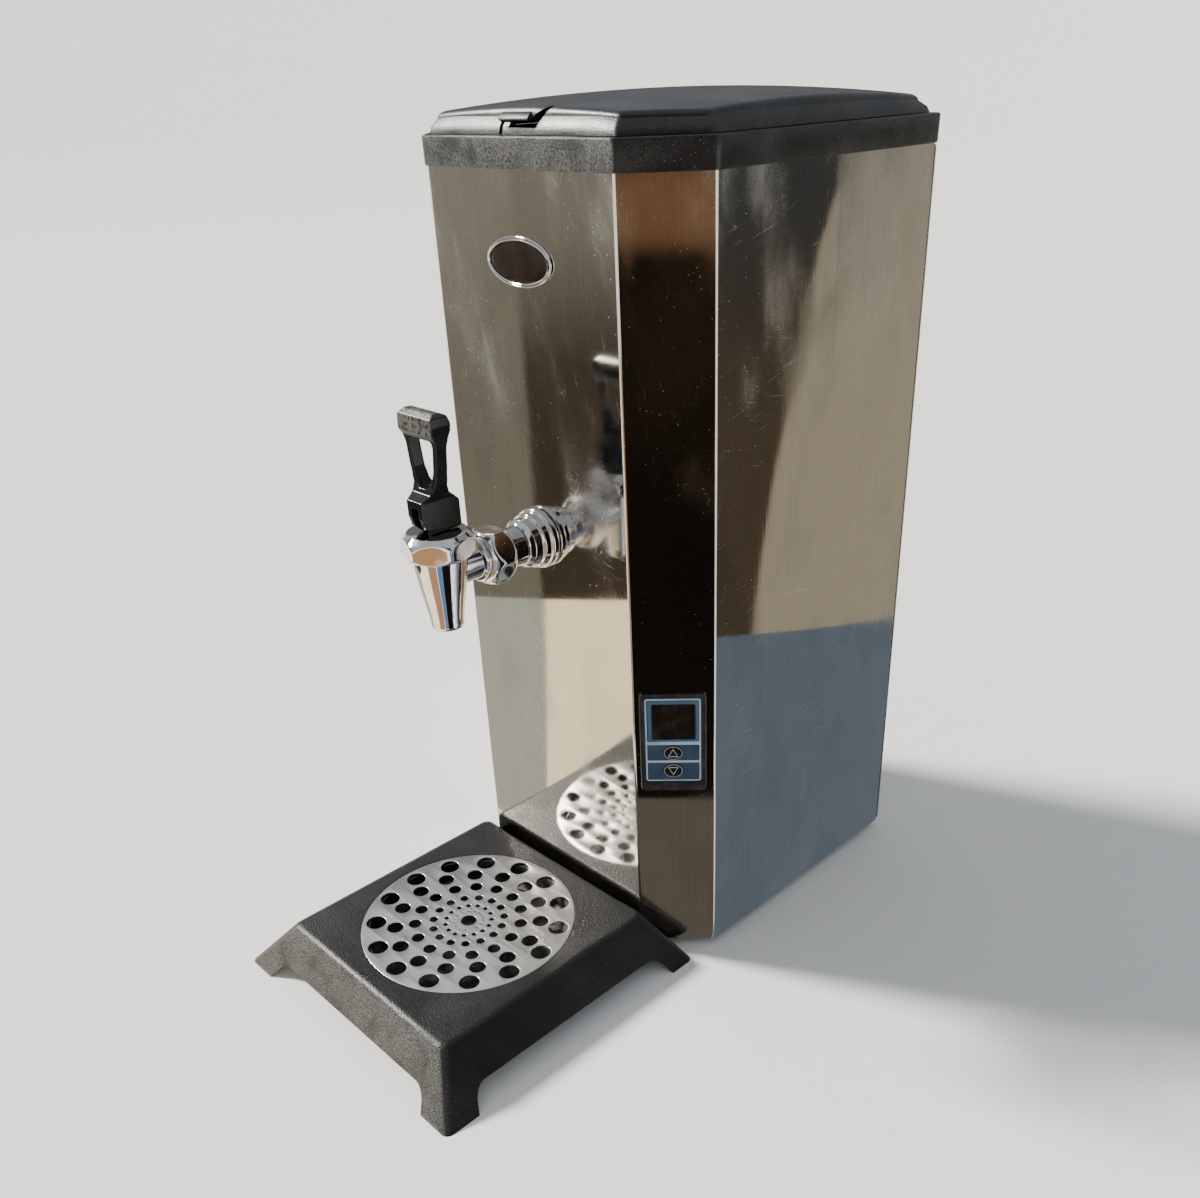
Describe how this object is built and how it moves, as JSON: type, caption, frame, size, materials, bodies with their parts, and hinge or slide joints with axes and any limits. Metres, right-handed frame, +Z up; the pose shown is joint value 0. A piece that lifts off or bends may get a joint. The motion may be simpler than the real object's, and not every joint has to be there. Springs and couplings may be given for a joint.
{
  "type": "hot water dispenser",
  "caption": "Countertop hot-water dispenser: a stainless cabinet with a hinged crowned lid, a self-closing lever tap, a display with keys and a free-standing drip tray.",
  "frame": {"origin": "middle of the footprint at counter level", "axes": "+Z up, -Y towards the tap and drip tray, +X towards the display panel's side (the user's right)"},
  "size_m": [0.21, 0.4138, 0.4767],
  "materials": {
    "stainless_sheet": "polished stainless with fine vertical brushing, light scratches and smudges",
    "stainless_grid": "satin stainless with light scratches",
    "bright_steel": "bright turned steel",
    "tank_steel": "dull spun stainless",
    "chrome_plate": "bright chrome plate",
    "brass_fittings": "plain machined brass",
    "lid_plastic": "black, satin, lightly grained and dusty",
    "tray_plastic": "black, grained, with edges worn brighter",
    "handle_plastic": "gloss black, worn grey on the grip",
    "bezel_plastic": "satin black",
    "key_plastic": "black with thin pale outlines",
    "blue_film": "dark blue printed film",
    "dark_window": "smoked and glossy",
    "dark_enamel": "blank dark enamel",
    "black_rubber": "matte black",
    "silicone": "translucent cream",
    "inner_plastic": "plain moulded black",
    "circuit_board": "green solder mask"
  },
  "bodies": {
    "cabinet": {"cabinet_shell": "stainless_sheet", "rear_panel": "stainless_sheet", "base_plate": "stainless_sheet", "tank_shelf": "stainless_sheet", "rear_screw_lower_left": "bright_steel", "rear_screw_upper_left": "bright_steel", "rear_screw_lower_right": "bright_steel", "rear_screw_upper_right": "bright_steel", "foot_front_left": "black_rubber", "foot_front_right": "black_rubber", "foot_rear_left": "black_rubber", "foot_rear_right": "black_rubber", "lid_collar": "lid_plastic", "lid_hinge_pin_left": "bright_steel", "lid_hinge_pin_right": "bright_steel", "badge_rim": "chrome_plate", "badge_face": "dark_enamel", "panel_bezel": "bezel_plastic", "panel_overlay": "blue_film", "display_window": "dark_window", "display_module": "inner_plastic", "control_board": "circuit_board", "key_switch_up": "inner_plastic", "key_switch_down": "inner_plastic", "tap_body": "chrome_plate", "tap_bonnet": "chrome_plate", "tap_collar": "chrome_plate", "tap_shank": "chrome_plate", "coupling_nut": "chrome_plate", "neck_ring": "chrome_plate", "stem_spring": "bright_steel", "shank_seal": "black_rubber", "shank_locknut": "brass_fittings", "outlet_hose": "silicone", "tank": "tank_steel", "tank_gasket": "silicone", "tank_lid": "tank_steel", "temperature_probe": "inner_plastic", "level_probe": "inner_plastic", "heating_element": "tank_steel", "element_nut_left": "brass_fittings", "element_nut_right": "brass_fittings", "inlet_valve": "inner_plastic", "inlet_locknut": "brass_fittings", "valve_coil": "inner_plastic", "fill_hose": "silicone", "thermal_cutout": "inner_plastic", "terminal_block": "inner_plastic", "cable_gland": "inner_plastic", "gland_nut": "inner_plastic"},
    "lid": {"lid": "lid_plastic"},
    "stem": {"valve_stem": "bright_steel", "seat_cup": "silicone"},
    "handle": {"tap_handle": "handle_plastic", "handle_pin": "bright_steel"},
    "key_up": {"button_up": "key_plastic"},
    "key_down": {"button_down": "key_plastic"},
    "tray": {"drip_tray": "tray_plastic"},
    "grid": {"drip_grid": "stainless_grid"}
  },
  "joints": [
    {"name": "lid_hinge", "type": "hinge", "parent": "cabinet", "child": "lid", "pos_m": [0, 0.18135, 0.4632], "axis": [-1, 0, 0], "range_deg": [0, 100]},
    {"name": "stem_lift", "type": "slide", "parent": "cabinet", "child": "stem", "axis": [0, 0, 1], "range_m": [0, 0.004], "deforming": ["stem_spring"]},
    {"name": "handle_tilt", "type": "hinge", "parent": "stem", "child": "handle", "pos_m": [0, -0.09695, 0.2892], "axis": [1, 0, 0], "range_deg": [0, 25], "stiffness_Nm_per_rad": 0.1},
    {"name": "key_up_press", "type": "slide", "parent": "cabinet", "child": "key_up", "axis": [-0.683, 0.7304, 0], "range_m": [0, 0.0008], "stiffness_N_per_m": 1500},
    {"name": "key_down_press", "type": "slide", "parent": "cabinet", "child": "key_down", "axis": [-0.683, 0.7304, 0], "range_m": [0, 0.0008], "stiffness_N_per_m": 1500},
    {"name": "tray_pull", "type": "slide", "parent": "cabinet", "child": "tray", "axis": [0, -1, 0], "range_m": [0, 0.15]},
    {"name": "grid_lift", "type": "slide", "parent": "tray", "child": "grid", "axis": [0, 0, 1], "range_m": [0, 0.03]}
  ],
  "couplings": [
    {"joint": "handle_tilt", "follows": "stem_lift", "rad_per_m": 109.08}
  ]
}
